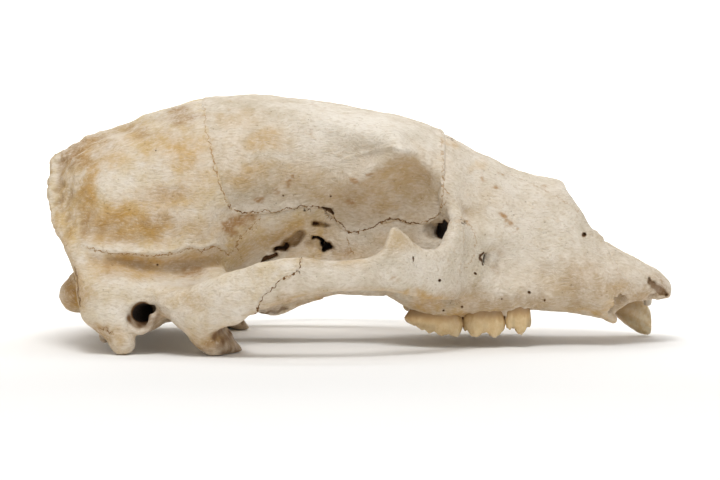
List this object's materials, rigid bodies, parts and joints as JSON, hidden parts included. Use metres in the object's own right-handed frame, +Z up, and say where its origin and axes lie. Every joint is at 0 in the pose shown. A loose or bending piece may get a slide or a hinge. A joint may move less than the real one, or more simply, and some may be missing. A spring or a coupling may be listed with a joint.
{
  "type": "black bear skull",
  "caption": "Bare upper skull of an adult black bear with wide cheek arches and worn cheek teeth, resting without its lower jaw.",
  "frame": {"origin": "middle of the skull's outline in plan, on the surface that it rests on", "axes": "+X from the back of the head to the tip of the muzzle, +Y to the animal's left, +Z up"},
  "size_m": [0.2866, 0.1616, 0.114],
  "materials": {
    "bone": "dry cream bone with a fine grain, matte",
    "stained_bone": "dry bone with ochre and brown soil stains, matte"
  },
  "bodies": {
    "root": {"braincase": "stained_bone", "forehead": "bone", "snout": "bone", "premaxilla": "bone", "cheekbone_left": "bone", "cheekbone_right": "bone"}
  },
  "joints": []
}
